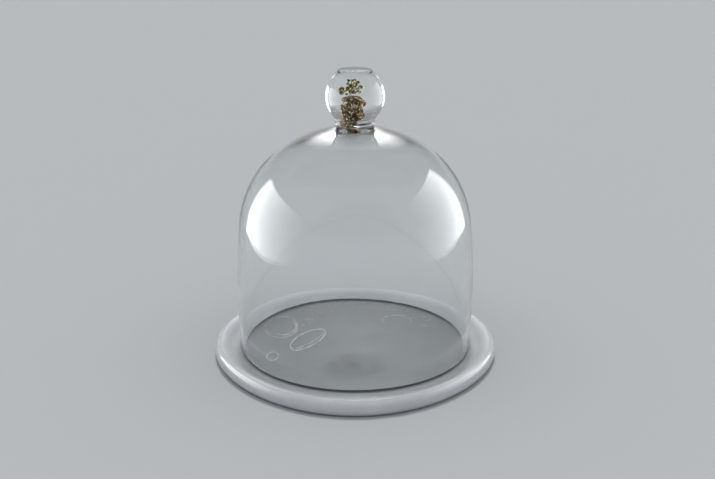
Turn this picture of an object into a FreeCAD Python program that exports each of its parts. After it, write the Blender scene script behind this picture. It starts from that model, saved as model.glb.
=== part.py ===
"""Cheese dome: a hand-blown glass bell with a solid knob, standing on a thick frosted glass plate.

Millimetres, +Z up. The origin is the middle of the plate's underside, +X is to the right and +Y
points to the back. Seven pieces: the plate, and on the loose bell a wrapped neck ring and a solid
knob that holds three clusters of crumpled gold leaf.
"""
import FreeCAD, Part
import math
import os
import random
import PartDesign
import Sketcher
from FreeCAD import Placement, Rotation, Vector

# Driving dimensions. Heights on the plate are from its underside, heights on the bell are from its
# rim, and heights on the knob, its ring and its gold are from the flat landing on top of the crown.
SIZES = {
    "plate_radius": 110.6,
    "plate_oval": 1.6,
    "plate_squareness": 0.8,
    "plate_wobble": 0.5,
    "rim_height": 12.2,
    "floor_height": 7.5,
    "floor_radius": 91.0,
    "crest_radius": 102.0,
    "crest_round": 2.5,
    "upper_edge_round": 4.4,
    "lower_edge_round": 5.6,
    "bubble_depth": 3.2,
    "bubble_flatness": 1.1,
    "bell_radius": 90.5,
    "widest_height": 41.4,
    "wall_arc": 552.0,
    "shoulder_start": 101.5,
    "shoulder_arc": 75.1,
    "landing_height": 172.9,
    "landing_radius": 11.8,
    "bell_wall": 3.0,
    "crown_wall": 5.0,
    "lip_round": 1.2,
    "stem_radius": 11.6,
    "ring_height": 3.9,
    "ring_radius": 14.9,
    "ring_foot_round": 2.7,
    "ring_top_round": 0.8,
    "neck_radius": 15.3,
    "neck_cove": 1.2,
    "ball_radius": 21.8,
    "ball_height": 21.3,
    "facet_height": 41.0,
    "facet_radius": 11.9,
    "facet_round": 0.6,
    "leaf_size": 1.3,
    "column_radius": 5.0,
    "spray_radius": 5.6,
}

# Air trapped in the plate: name, X, Y, half length, half width, turn of the length from +X.
BUBBLES = [
    ("wide", -61.0, 28.0, 21.5, 14.5, 95.0),
    ("long", -38.0, 3.0, 23.5, 10.5, 61.0),
    ("front", -63.0, -27.0, 8.5, 5.0, 90.0),
    ("right", 35.0, 43.0, 13.0, 11.5, 10.0),
    ("side", 60.5, 47.0, 5.2, 4.2, 80.0),
    ("small", 56.5, 31.5, 3.6, 2.8, 40.0),
    ("back", -39.0, 41.6, 3.4, 2.6, 10.0),
]

CROWN_ARC_GUESS = 93.0  # where the sketch solver starts; the bell's profile settles it
LEAF_CORNERS = 5
LEAF_SEED = 11


def make_sheet(doc):
    """Write the driving dimensions to the spreadsheet, one alias for each."""
    sheet = doc.addObject("Spreadsheet::Sheet", "Sizes")
    for row, (alias, value) in enumerate(SIZES.items(), start=1):
        sheet.set(f"A{row}", alias)
        sheet.set(f"B{row}", str(value))
        sheet.setAlias(f"B{row}", alias)
    doc.recompute()
    return sheet


def new_body(doc, name, height=None):
    """A body with its own name and label, raised by an expression when it doesn't start at zero."""
    body = doc.addObject("PartDesign::Body", name)
    body.Label = name
    if height:
        body.setExpression(".Placement.Base.z", height)
    return body


def plane_of(body, role):
    return next(f for f in body.Origin.OriginFeatures if f.Role == role)


def new_sketch(body, name, role="XZ_Plane"):
    """A sketch on one of the body's own planes. On XZ its own x and y are the body's X and Z."""
    sketch = body.newObject("Sketcher::SketchObject", name)
    sketch.AttachmentSupport = (plane_of(body, role), [""])
    sketch.MapMode = "FlatFace"
    return sketch


def line(sketch, start, end):
    return sketch.addGeometry(Part.LineSegment(Vector(*start, 0), Vector(*end, 0)), False)


def arc(sketch, centre, radius, start_angle, end_angle):
    circle = Part.Circle(Vector(*centre, 0), Vector(0, 0, 1), radius)
    return sketch.addGeometry(Part.ArcOfCircle(circle, start_angle, end_angle), False)


def tie(sketch, kind, *where):
    sketch.addConstraint(Sketcher.Constraint(kind, *where))


def size(sketch, name, expression, kind, *where):
    """A dimension of the sketch, named and bound to the spreadsheet. Its value starts as drawn."""
    index = sketch.addConstraint(Sketcher.Constraint(kind, *where))
    sketch.renameConstraint(index, name)
    sketch.setExpression(f"Constraints.{name}", expression)


def revolve(body, sketch, kind, name):
    feature = body.newObject(f"PartDesign::{kind}", name)
    feature.Profile = sketch
    feature.ReferenceAxis = (sketch, ["V_Axis"])
    feature.Angle = 360.0
    body.Document.recompute()
    return feature


def round_edges(body, name, radius, wanted):
    """Fillet the edges of the body's tip for which wanted(edge) is true."""
    tip = body.Tip
    names = [f"Edge{i}" for i, edge in enumerate(tip.Shape.Edges, start=1) if wanted(edge)]
    fillet = body.newObject("PartDesign::Fillet", name)
    fillet.Base = (tip, names)
    fillet.setExpression("Radius", radius)
    body.Document.recompute()
    return fillet


def is_circle(edge, radius=None):
    if edge.Degenerated or not isinstance(edge.Curve, Part.Circle):
        return False
    return radius is None or abs(edge.Curve.Radius - radius) < 1e-3


def is_level(edge, height):
    box = edge.BoundBox
    return max(abs(box.ZMin - height), abs(box.ZMax - height)) < 1e-4


def plate_outline(sizes):
    """The plate's hand-made outline: a circle with slow waves that make it oval and a little square."""
    points = []
    for step in range(24):
        turn = math.radians(step * 15)
        radius = sizes["plate_radius"] - sizes["plate_oval"] * math.cos(2 * turn)
        radius += sizes["plate_squareness"] * math.cos(4 * turn)
        radius += sizes["plate_wobble"] * math.sin(3 * turn)
        points.append(Vector(radius * math.cos(turn), radius * math.sin(turn), 0))
    outline = Part.BSplineCurve()
    outline.interpolate(Points=points, PeriodicFlag=True)
    return outline


def make_plate(doc, sizes):
    """The plate: a padded outline, a round well turned into its top, soft edges and trapped air."""
    body = new_body(doc, "plate")
    outline = new_sketch(body, "plate_outline", "XY_Plane")
    outline.addGeometry(plate_outline(sizes), False)
    slab = body.newObject("PartDesign::Pad", "plate_slab")
    slab.Profile = outline
    slab.setExpression("Length", "Sizes.rim_height")
    doc.recompute()

    floor, top = sizes["floor_height"], sizes["rim_height"]
    inner, outer = sizes["floor_radius"], sizes["crest_radius"]
    above = top + 5.0
    slope = ((outer - inner) ** 2 + (top - floor) ** 2) / (2 * (top - floor))
    well = new_sketch(body, "plate_well")
    bottom = line(well, (0, floor), (inner, floor))
    rise_angle = math.atan2(top - floor - slope, outer - inner)
    rise = arc(well, (inner, floor + slope), slope, -math.pi / 2, rise_angle)
    side = line(well, (outer, top), (outer, above))
    lid = line(well, (outer, above), (0, above))
    centre = line(well, (0, above), (0, floor))
    tie(well, "Tangent", bottom, 2, rise, 1)
    for first, second in ((rise, side), (side, lid), (lid, centre), (centre, bottom)):
        tie(well, "Coincident", first, 2, second, 1)
    tie(well, "Horizontal", bottom)
    tie(well, "Vertical", side)
    tie(well, "Horizontal", lid)
    tie(well, "PointOnObject", bottom, 1, -2)
    tie(well, "PointOnObject", lid, 2, -2)
    size(well, "floor", "Sizes.floor_height", "DistanceY", -1, 1, bottom, 1, floor)
    size(well, "inner", "Sizes.floor_radius", "DistanceX", bottom, 1, bottom, 2, inner)
    size(well, "crest", "Sizes.crest_radius", "DistanceX", -1, 1, rise, 2, outer)
    size(well, "crest_top", "Sizes.rim_height", "DistanceY", -1, 1, rise, 2, top)
    size(well, "lid_top", "Sizes.rim_height + 5", "DistanceY", -1, 1, lid, 1, above)
    revolve(body, well, "Groove", "plate_hollow")

    round_edges(body, "rim_crest", "Sizes.crest_round", lambda e: is_circle(e, outer) and is_level(e, top))
    for name, height in (("upper", top), ("lower", 0.0)):
        radius = f"Sizes.{name}_edge_round"
        round_edges(body, f"rim_{name}_edge", radius, lambda e: is_level(e, height) and not is_circle(e))

    for name, x, y, half_length, half_width, turn in BUBBLES:
        bubble = body.newObject("PartDesign::SubtractiveEllipsoid", f"bubble_{name}")
        bubble.Angle1, bubble.Angle2, bubble.Angle3 = -90, 90, 360
        bubble.Radius2, bubble.Radius3 = half_length, half_width
        bubble.setExpression("Radius1", "Sizes.bubble_flatness")
        height = floor - sizes["bubble_depth"]
        bubble.Placement = Placement(Vector(x, y, height), Rotation(Vector(0, 0, 1), turn))
        bubble.setExpression(".Placement.Base.z", "Sizes.floor_height - Sizes.bubble_depth")
        doc.recompute()
    return body


def crown_of(shoulder, shoulder_radius, top):
    """Centre height and radius of the arc that closes a shoulder arc on the axis at height top."""
    rise = top - shoulder[1]
    reach = shoulder[0] ** 2 + rise**2 - shoulder_radius**2
    radius = reach / (2 * (rise - shoulder_radius))
    return top - radius, radius


def make_bell(doc, sizes):
    """The blown bell: wall, shoulder and crown arcs outside and inside, with a heavier crown."""
    body = new_body(doc, "bell", "Sizes.floor_height")
    wall, shoulder = sizes["wall_arc"], sizes["shoulder_arc"]
    thick, landing = sizes["bell_wall"], sizes["landing_height"]
    centre = (sizes["bell_radius"] - wall, sizes["widest_height"])
    foot = math.asin(-centre[1] / wall)
    inner_foot = math.asin(-centre[1] / (wall - thick))
    join = math.asin((sizes["shoulder_start"] - centre[1]) / wall)
    hub = tuple(c + (wall - shoulder) * f(join) for c, f in zip(centre, (math.cos, math.sin)))
    apex = landing + sizes["landing_radius"] ** 2 / (2 * CROWN_ARC_GUESS)
    crown_z, crown = crown_of(hub, shoulder, apex)
    inner_z, inner_crown = crown_of(hub, shoulder - thick, landing - sizes["crown_wall"])
    turn = math.atan2(hub[1] - crown_z, hub[0])
    inner_turn = math.atan2(hub[1] - inner_z, hub[0])
    landing_turn = math.acos(sizes["landing_radius"] / crown)

    sketch = new_sketch(body, "bell_profile")
    wall_out = arc(sketch, centre, wall, foot, join)
    shoulder_out = arc(sketch, hub, shoulder, join, turn)
    crown_out = arc(sketch, (0, crown_z), crown, turn, landing_turn)
    landing_line = line(sketch, (sizes["landing_radius"], landing), (0, landing))
    axis_line = line(sketch, (0, landing), (0, landing - sizes["crown_wall"]))
    crown_in = arc(sketch, (0, inner_z), inner_crown, inner_turn, math.pi / 2)
    shoulder_in = arc(sketch, hub, shoulder - thick, join, inner_turn)
    wall_in = arc(sketch, centre, wall - thick, inner_foot, join)
    rim_in = centre[0] + (wall - thick) * math.cos(inner_foot)
    rim_out = centre[0] + wall * math.cos(foot)
    rim = line(sketch, (rim_in, 0), (rim_out, 0))

    tie(sketch, "Tangent", wall_out, 2, shoulder_out, 1)
    tie(sketch, "Tangent", shoulder_out, 2, crown_out, 1)
    tie(sketch, "Coincident", crown_out, 2, landing_line, 1)
    tie(sketch, "Coincident", landing_line, 2, axis_line, 1)
    tie(sketch, "Coincident", axis_line, 2, crown_in, 2)
    tie(sketch, "Tangent", crown_in, 1, shoulder_in, 2)
    tie(sketch, "Tangent", shoulder_in, 1, wall_in, 2)
    tie(sketch, "Coincident", wall_in, 1, rim, 1)
    tie(sketch, "Coincident", rim, 2, wall_out, 1)
    tie(sketch, "Horizontal", landing_line)
    tie(sketch, "Vertical", axis_line)
    tie(sketch, "Horizontal", rim)
    tie(sketch, "Coincident", wall_out, 3, wall_in, 3)
    tie(sketch, "Coincident", shoulder_out, 3, shoulder_in, 3)
    tie(sketch, "PointOnObject", crown_out, 3, -2)
    tie(sketch, "PointOnObject", crown_in, 3, -2)
    tie(sketch, "PointOnObject", landing_line, 2, -2)
    tie(sketch, "PointOnObject", rim, 1, -1)
    size(sketch, "wall", "Sizes.wall_arc", "Radius", wall_out, wall)
    size(sketch, "wall_inside", "Sizes.wall_arc - Sizes.bell_wall", "Radius", wall_in, wall - thick)
    size(sketch, "shoulder", "Sizes.shoulder_arc", "Radius", shoulder_out, shoulder)
    size(sketch, "reach", "Sizes.wall_arc - Sizes.bell_radius", "DistanceX", wall_out, 3, -1, 1, -centre[0])
    size(sketch, "widest", "Sizes.widest_height", "DistanceY", -1, 1, wall_out, 3, centre[1])
    size(sketch, "start", "Sizes.shoulder_start", "DistanceY", -1, 1, wall_out, 2, sizes["shoulder_start"])
    size(sketch, "landing", "Sizes.landing_height", "DistanceY", -1, 1, crown_out, 2, landing)
    landing_width = sizes["landing_radius"]
    size(sketch, "flat", "Sizes.landing_radius", "DistanceX", -1, 1, crown_out, 2, landing_width)
    size(sketch, "heavy", "Sizes.crown_wall", "DistanceY", axis_line, 2, axis_line, 1, sizes["crown_wall"])
    revolve(body, sketch, "Revolution", "bell_shell")
    round_edges(body, "bell_lip", "Sizes.lip_round", lambda e: is_circle(e) and is_level(e, 0.0))
    return body


def make_ring(doc, sizes):
    """The neck ring: glass wrapped round the knob's stem and tooled in towards the bell."""
    body = new_body(doc, "neck_ring", "Sizes.floor_height + Sizes.landing_height")
    stem, height, outer = sizes["stem_radius"], sizes["ring_height"], sizes["ring_radius"]
    foot_round, top_round = sizes["ring_foot_round"], sizes["ring_top_round"]
    sketch = new_sketch(body, "ring_profile")
    bottom = line(sketch, (stem, 0), (outer - foot_round, 0))
    foot = arc(sketch, (outer - foot_round, foot_round), foot_round, -math.pi / 2, 0)
    side = line(sketch, (outer, foot_round), (outer, height - top_round))
    brow = arc(sketch, (outer - top_round, height - top_round), top_round, 0, math.pi / 2)
    top = line(sketch, (outer - top_round, height), (stem, height))
    bore = line(sketch, (stem, height), (stem, 0))
    for first, second in ((bottom, foot), (foot, side), (side, brow), (brow, top)):
        tie(sketch, "Tangent", first, 2, second, 1)
    tie(sketch, "Coincident", top, 2, bore, 1)
    tie(sketch, "Coincident", bore, 2, bottom, 1)
    for flat in (bottom, top):
        tie(sketch, "Horizontal", flat)
    for upright in (side, bore):
        tie(sketch, "Vertical", upright)
    tie(sketch, "PointOnObject", bottom, 1, -1)
    size(sketch, "bore_radius", "Sizes.stem_radius", "DistanceX", -1, 1, bottom, 1, stem)
    size(sketch, "bore_height", "Sizes.ring_height", "DistanceY", bore, 2, bore, 1, height)
    size(sketch, "outside", "Sizes.ring_radius", "DistanceX", -1, 1, side, 1, outer)
    size(sketch, "foot_round", "Sizes.ring_foot_round", "Radius", foot, foot_round)
    size(sketch, "top_round", "Sizes.ring_top_round", "Radius", brow, top_round)
    revolve(body, sketch, "Revolution", "ring_wrap")
    return body


def make_knob_blank(doc, sizes):
    """The solid knob before the gold is let into it: stem, short neck and a ball whose top is ground
    to a bevel, tangent to the ball, and a flat facet."""
    body = new_body(doc, "knob_blank", "Sizes.floor_height + Sizes.landing_height")
    stem, ring, neck = sizes["stem_radius"], sizes["ring_height"], sizes["neck_radius"]
    ball, centre, top = sizes["ball_radius"], sizes["ball_height"], sizes["facet_height"]
    neck_angle = -math.acos(neck / ball)
    neck_top = centre + ball * math.sin(neck_angle)
    facet, above = sizes["facet_radius"], top - centre
    bevel_angle = math.atan2(above, facet) - math.acos(ball / math.hypot(above, facet))
    bevel_start = (ball * math.cos(bevel_angle), centre + ball * math.sin(bevel_angle))

    sketch = new_sketch(body, "knob_profile")
    foot = line(sketch, (0, 0), (stem, 0))
    stem_side = line(sketch, (stem, 0), (stem, ring))
    ledge = line(sketch, (stem, ring), (neck, ring))
    neck_side = line(sketch, (neck, ring), (neck, neck_top))
    sphere = arc(sketch, (0, centre), ball, neck_angle, bevel_angle)
    bevel = line(sketch, bevel_start, (facet, top))
    facet_line = line(sketch, (facet, top), (0, top))
    axis_line = line(sketch, (0, top), (0, 0))
    for chain in ((foot, stem_side, ledge, neck_side, sphere), (bevel, facet_line, axis_line, foot)):
        for first, second in zip(chain, chain[1:]):
            tie(sketch, "Coincident", first, 2, second, 1)
    tie(sketch, "Tangent", sphere, 2, bevel, 1)
    for flat in (foot, ledge, facet_line):
        tie(sketch, "Horizontal", flat)
    for upright in (stem_side, neck_side, axis_line):
        tie(sketch, "Vertical", upright)
    tie(sketch, "Coincident", foot, 1, -1, 1)
    tie(sketch, "PointOnObject", sphere, 3, -2)
    size(sketch, "stem", "Sizes.stem_radius", "DistanceX", foot, 1, foot, 2, stem)
    size(sketch, "ring", "Sizes.ring_height", "DistanceY", stem_side, 1, stem_side, 2, ring)
    size(sketch, "neck", "Sizes.neck_radius", "DistanceX", -1, 1, ledge, 2, neck)
    size(sketch, "ball", "Sizes.ball_radius", "Radius", sphere, ball)
    size(sketch, "ball_place", "Sizes.ball_height", "DistanceY", -1, 1, sphere, 3, centre)
    size(sketch, "facet_top", "Sizes.facet_height", "DistanceY", -1, 1, facet_line, 1, top)
    size(sketch, "facet_width", "Sizes.facet_radius", "DistanceX", -1, 1, facet_line, 1, facet)
    revolve(body, sketch, "Revolution", "knob_turned")
    round_edges(body, "knob_cove", "Sizes.neck_cove", lambda e: is_circle(e) and is_level(e, neck_top))
    round_edges(body, "knob_facet_edge", "Sizes.facet_round", lambda e: is_circle(e) and is_level(e, top))
    return body


def leaf(centre, reach, chance):
    """One crumpled scrap of gold leaf: a lumpy closed solid inside a ball of radius reach."""
    corners = []
    for corner in range(LEAF_CORNERS):
        turn = 2 * math.pi * (corner + chance.uniform(-0.2, 0.2)) / LEAF_CORNERS
        out = reach * chance.uniform(0.72, 0.95)
        corners.append(Vector(out * math.cos(turn), out * math.sin(turn), reach * chance.uniform(-0.3, 0.3)))
    peak = Vector(0, 0, reach * chance.uniform(0.45, 0.7))
    pit = Vector(0, 0, -reach * chance.uniform(0.45, 0.7))
    faces = []
    for first, second in zip(corners, corners[1:] + corners[:1]):
        for tip in (peak, pit):
            faces.append(Part.Face(Part.makePolygon([first, second, tip, first])))
    scrap = Part.Solid(Part.Shell(faces))
    if scrap.Volume < 0:
        scrap.reverse()
    spin = Rotation(chance.uniform(0, 360), chance.uniform(-70, 70), chance.uniform(0, 360))
    scrap.Placement = Placement(centre, spin)
    return scrap


def leaf_layers(bottom, top, spacing):
    """Heights of the rings of scraps that fill the stretch from bottom to top, at least spacing apart."""
    count = int((top - bottom) // spacing)
    pitch = (top - bottom) / count
    return [bottom + pitch * (level + 0.5) for level in range(count)]


def make_gold(doc, sizes):
    """Gold leaf in the knob: a beaded column up the middle, a tail in the neck and a spray on top.

    Each cluster is a stack of rings of scraps. A scrap keeps inside its own ball, and the balls
    clear each other, so that no two scraps touch.
    """
    chance = random.Random(LEAF_SEED)
    reach = sizes["leaf_size"]
    base = sizes["floor_height"] + sizes["landing_height"]
    centre, ring = sizes["ball_height"], sizes["ring_height"]
    column, spray = sizes["column_radius"], sizes["spray_radius"]
    spacing = 2.1 * reach
    split = ring + 2 * spacing
    clusters = {
        "gold_tail": [(z, (-2.6 + 0.1 * z, 0), column * 0.8) for z in leaf_layers(0.8, split, spacing)],
        "gold_column": [(z, (-1.2, 0), column) for z in leaf_layers(split, centre, spacing)],
        "gold_spray": [
            (z, (-2.9 + 0.25 * (z - centre), 0), spray - 0.45 * (z - centre))
            for z in leaf_layers(centre + 0.4, centre + 4 * spacing, spacing)
        ],
    }
    gold = {}
    for name, layers in clusters.items():
        scraps = []
        for level, (z, (x, y), radius) in enumerate(layers):
            ring_count = max(3, int(2 * math.pi * radius / (2.1 * reach)))
            for spot in range(ring_count):
                turn = 2 * math.pi * (spot + 0.5 * (level % 2)) / ring_count
                place = Vector(x + radius * math.cos(turn), y + radius * math.sin(turn), base + z)
                scraps.append(leaf(place, reach, chance))
        feature = doc.addObject("Part::Feature", name)
        feature.Label = name
        feature.Shape = Part.makeCompound(scraps)
        gold[name] = feature
    return gold


def make_knob(doc, sizes, gold):
    """The finished knob: the blank with a seat cut in it for every scrap of gold."""
    blank = make_knob_blank(doc, sizes)
    scraps = doc.addObject("Part::Compound", "gold_seats")
    scraps.Links = list(gold.values())
    knob = doc.addObject("Part::Cut", "knob")
    knob.Base = blank
    knob.Tool = scraps
    knob.Label = "knob"
    doc.recompute()
    return knob


def check(doc, pieces):
    """Stop before anything is written if any object failed or any piece isn't a sound solid."""
    for item in doc.Objects:
        if {"Invalid", "Error"} & set(item.State):
            raise RuntimeError(f"{item.Name} failed: {item.State}")
    for piece in pieces:
        if piece.Shape.isNull() or not piece.Shape.isValid():
            raise RuntimeError(f"{piece.Label} has no valid shape")


def main():
    doc = FreeCAD.newDocument("cheese_dome")
    sheet = make_sheet(doc)
    sizes = {alias: float(getattr(sheet, alias)) for alias in SIZES}
    plate = make_plate(doc, sizes)
    bell = make_bell(doc, sizes)
    ring = make_ring(doc, sizes)
    gold = make_gold(doc, sizes)
    knob = make_knob(doc, sizes, gold)
    pieces = [plate, bell, ring, knob] + list(gold.values())
    doc.recompute()
    check(doc, pieces)
    os.makedirs("parts", exist_ok=True)
    for piece in pieces:
        piece.Shape.exportStep(f"parts/{piece.Label}.step")
        box = piece.Shape.optimalBoundingBox()
        print(f"{piece.Label}: {len(piece.Shape.Solids)} solids, {piece.Shape.Volume / 1000:.1f} cm3")
        print(f"  X {box.XMin:.2f}..{box.XMax:.2f}, Y {box.YMin:.2f}..{box.YMax:.2f}", end=", ")
        print(f"Z {box.ZMin:.2f}..{box.ZMax:.2f}")


main()
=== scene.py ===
"""Looks of the cheese dome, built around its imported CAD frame.

A clear hand-blown bell and its solid knob are one body of glass, gold leaf is cast in the knob, and
the plate is kiln-formed milky glass with air trapped in it. Lengths in the constants are millimetres
and the meshes are metres.
"""
import math

import bpy
import numpy as np
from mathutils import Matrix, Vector


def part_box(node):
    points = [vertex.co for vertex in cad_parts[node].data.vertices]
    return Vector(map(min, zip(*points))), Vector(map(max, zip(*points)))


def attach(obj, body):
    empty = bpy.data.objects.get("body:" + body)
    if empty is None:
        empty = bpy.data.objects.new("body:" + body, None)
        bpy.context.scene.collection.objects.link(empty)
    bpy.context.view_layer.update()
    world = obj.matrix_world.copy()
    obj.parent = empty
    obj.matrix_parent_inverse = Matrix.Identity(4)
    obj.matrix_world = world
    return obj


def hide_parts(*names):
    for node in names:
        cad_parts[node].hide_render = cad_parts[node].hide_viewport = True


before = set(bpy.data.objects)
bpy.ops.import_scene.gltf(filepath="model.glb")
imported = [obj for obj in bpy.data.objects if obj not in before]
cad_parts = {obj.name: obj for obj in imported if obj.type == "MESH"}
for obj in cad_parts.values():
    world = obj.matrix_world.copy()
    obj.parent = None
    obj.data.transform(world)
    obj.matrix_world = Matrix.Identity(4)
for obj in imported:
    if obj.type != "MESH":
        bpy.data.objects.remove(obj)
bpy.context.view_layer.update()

MM = 0.001
DOME_TURNS = 192  # steps round the bell and its knob
PLATE_TURNS = 360  # steps round the plate

# The plate: the mean radius and slow waves of its outline, its flat floor, the crest of its rim and
# the rounds of its edge.
PLATE_RADIUS = 110.6
PLATE_OVAL = 1.6
PLATE_SQUARENESS = 0.8
PLATE_WOBBLE = 0.5
PLATE_INSET = 0.05  # keeps the dressed plate just inside the solid one
FLOOR_RADIUS = 91.0
CREST_RADIUS = 102.0
CREST_LEAST = 0.3  # least width of the rim's top outside its crest
SLOPE_SHARE = 0.62  # of the slope's arc, up to where it straightens towards the crest
LOWER_EDGE_ROUND = 5.6
UPPER_EDGE_ROUND = 4.4
RIM_WAVES = [(3, 0.12, 0.8), (7, 0.08, 2.1)]  # how the rim's top sinks: waves, mm, phase

# The bell's arcs and walls. Heights are above the lip.
WALL_ARC = 552.0
WIDEST_HEIGHT = 41.4
SHOULDER_START = 101.5
SHOULDER_ARC = 75.1
BELL_WALL = 3.0
CROWN_WALL = 5.0
CROWN_ARC = 93.0
LANDING_RADIUS = 11.8
LIP_ROUND = 1.5
LIP_CLEAR = 0.02  # keeps the lip from lying in the very face of the plate
GROUND_AND_SHADE_SHARE = 0.75  # of the lip's round, up to where it is grey: ground glass and painted contact shade

# The slow unevenness of the blown walls.
BLOWN_WAVES = [(2, 0.10, 0.3, 0.7), (3, 0.07, 1.9, 1.6), (5, 0.035, 4.0, 2.9)]  # waves, mm, phase, twist
BLOWN_TWIST_HEIGHT = 60.0  # over which the waves turn by their twist
BLOWN_FADE_HEIGHT = 25.0  # over which they grow from the lip up
BLOWN_FADE_RADII = (30.0, 70.0)  # between which they die out on the crown
INNER_TWIST = 2.4  # how far the inner face's waves are out of step with the outer's

# The knob and the ring round its foot. BALL_HEIGHT is above the landing on the crown.
RING_FOOT_ROUND = 2.7
RING_FOOT_END = -66.0  # degrees, where the ring's foot meets the crown
RING_FOOT_REACH = 2.2  # how far outside the landing that is
RING_TOP_ROUND = 0.8
RING_TOP_START = 28.0  # degrees
NECK_RADIUS = 15.3
NECK_BEND = 1.0
NECK_BEND_TURN = 0.05  # radians of the ball that the bend into the neck takes up
SEAM_BEND = (1.0, 0.3, 0.1)  # from the seam of neck and ring: up to its start and corner, in to its end
BALL_RADIUS = 21.8
BALL_HEIGHT = 21.3
FACET_RADIUS = 11.9
FACET_ROUND = 0.5
BEVEL_START = (0.3, -0.37)  # from the facet's sharp corner to where its bevel is straight

# Air trapped in the plate: X, Y, half length, half width, turn of the length from +X, and the
# direction in which its edge stands out most with how far the opposite edge fades. Turns in degrees.
# The last two are contours inside the first two.
BUBBLES = [
    (-61.0, 28.0, 21.5, 14.5, 95.0, 20.0, 0.75),
    (-38.0, 3.0, 23.5, 10.5, 61.0, 60.0, 0.25),
    (-63.0, -27.0, 8.5, 5.0, 90.0, 200.0, 0.4),
    (35.0, 43.0, 13.0, 11.5, 10.0, 85.0, 1.0),
    (60.5, 47.0, 5.2, 4.2, 80.0, 60.0, 0.5),
    (56.5, 31.5, 3.6, 2.8, 40.0, 120.0, 0.3),
    (-39.0, 41.6, 3.4, 2.6, 10.0, 90.0, 0.3),
    (-31.0, 58.0, 1.9, 1.5, 0.0, 90.0, 0.2),
    (-38.0, 70.0, 2.2, 1.2, 5.0, 90.0, 0.2),
    (-17.0, 77.0, 1.4, 1.0, 0.0, 90.0, 0.2),
    (-9.5, 72.5, 1.1, 0.8, 0.0, 90.0, 0.2),
    (29.0, 70.0, 1.3, 1.1, 30.0, 90.0, 0.2),
    (43.0, 70.0, 1.7, 1.2, 0.0, 90.0, 0.2),
    (77.0, 31.0, 2.0, 1.4, 60.0, 40.0, 0.2),
    (-57.0, 25.0, 15.0, 8.0, 80.0, 320.0, 1.0),
    (-36.5, 1.5, 18.5, 4.6, 58.0, 325.0, 1.0),
]
RIDGE_WIDTH = 3.3
RIDGE_HEIGHT = 0.55
RIDGE_SHARE = 0.55  # the most of a bubble's half width that its ridge takes up
RIDGE_FULL_HEIGHT_WIDTH = 2.4  # a narrower ridge is lower too
RIDGE_SINK = 0.06  # how deep the ridge's edges are in the plate's floor
RIDGE_UNDERSIDE = 0.3


def low_high(node):
    """A CAD node's lowest and highest corners, in millimetres."""
    low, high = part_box(node)
    return low / MM, high / MM


bell_low, bell_high = low_high("bell")
knob_low, knob_high = low_high("knob")
ring_low, ring_high = low_high("neck_ring")
plate_low, plate_high = low_high("plate")
FLOOR_Z = bell_low.z  # the plate's floor, which the lip stands on
RIM_Z = plate_high.z
LANDING_Z = knob_low.z  # where the knob sits on the crown
BALL_Z = LANDING_Z + BALL_HEIGHT
BELL_RADIUS = bell_high.x


# ---------------------------------------------------------------- shapes

def bend(centre, radius, start, end, steps):
    """Points on an arc from angle start to angle end, in radians, both ends included."""
    angles = np.linspace(start, end, steps)
    return [(centre[0] + radius * math.cos(a), centre[1] + radius * math.sin(a)) for a in angles]


def straight(start, end, steps):
    """Points on a line, both ends included, with a close pair at each end that keeps it straight."""
    hold = min(0.2, 0.15 / math.dist(start, end))
    shares = [0, *np.linspace(hold, 1 - hold, steps), 1]
    return [tuple(a + (b - a) * t for a, b in zip(start, end)) for t in shares]


def soft_corner(start, corner, end, steps):
    """Points on the curve from start to end whose two tangents meet in the corner."""
    points = []
    for t in np.linspace(0, 1, steps):
        shares = ((1 - t) ** 2, 2 * t * (1 - t), t * t)
        points.append(tuple(sum(k * q for k, q in zip(shares, trio)) for trio in zip(start, corner, end)))
    return points


def join(*runs):
    """One path from several, with the points that two runs share kept once."""
    path = []
    for run in runs:
        for point in run:
            if not path or math.dist(path[-1], point) > 1e-6:
                path.append(point)
    return path


def mesh_piece(name, points, faces, material):
    """A piece from points in millimetres, its faces turned outwards, smooth and in one material."""
    mesh = bpy.data.meshes.new(name)
    mesh.from_pydata([tuple(p * MM for p in point) for point in points], [], faces)
    mesh.validate()
    mesh.update()
    if signed_volume(mesh) < 0:
        mesh.flip_normals()
    mesh.shade_smooth()
    if material:
        mesh.materials.append(material)
    piece = bpy.data.objects.new(name, mesh)
    bpy.context.scene.collection.objects.link(piece)
    return piece


def signed_volume(mesh):
    """The volume inside a mesh, below zero where its faces point inwards."""
    mesh.calc_loop_triangles()
    corners = np.empty(len(mesh.vertices) * 3)
    mesh.vertices.foreach_get("co", corners)
    corners = corners.reshape(-1, 3)
    triangles = np.empty(len(mesh.loop_triangles) * 3, dtype=np.int32)
    mesh.loop_triangles.foreach_get("vertices", triangles)
    a, b, c = (corners[triangles.reshape(-1, 3)[:, i]] for i in range(3))
    return float(np.einsum("ij,ij->i", a, np.cross(b, c)).sum() / 6)


def turned(name, profile_at, material, turns):
    """A closed turned form. profile_at(angle) gives the same number of (radius, height) points at
    every angle, and the first and last lie on the axis."""
    count = len(profile_at(0.0))
    points = [(0.0, 0.0, profile_at(0.0)[0][1])]
    for step in range(turns):
        angle = 2 * math.pi * step / turns
        for radius, height in profile_at(angle)[1:-1]:
            points.append((radius * math.cos(angle), radius * math.sin(angle), height))
    points.append((0.0, 0.0, profile_at(0.0)[-1][1]))
    inner, last = count - 2, len(points) - 1
    faces = []
    for step in range(turns):
        here, there = 1 + step * inner, 1 + (step + 1) % turns * inner
        faces.append((0, here, there))
        faces += [(here + i, here + i + 1, there + i + 1, there + i) for i in range(inner - 1)]
        faces.append((here + inner - 1, last, there + inner - 1))
    return mesh_piece(name, points, faces, material)


# ---------------------------------------------------------------- the bell and its knob

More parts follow.
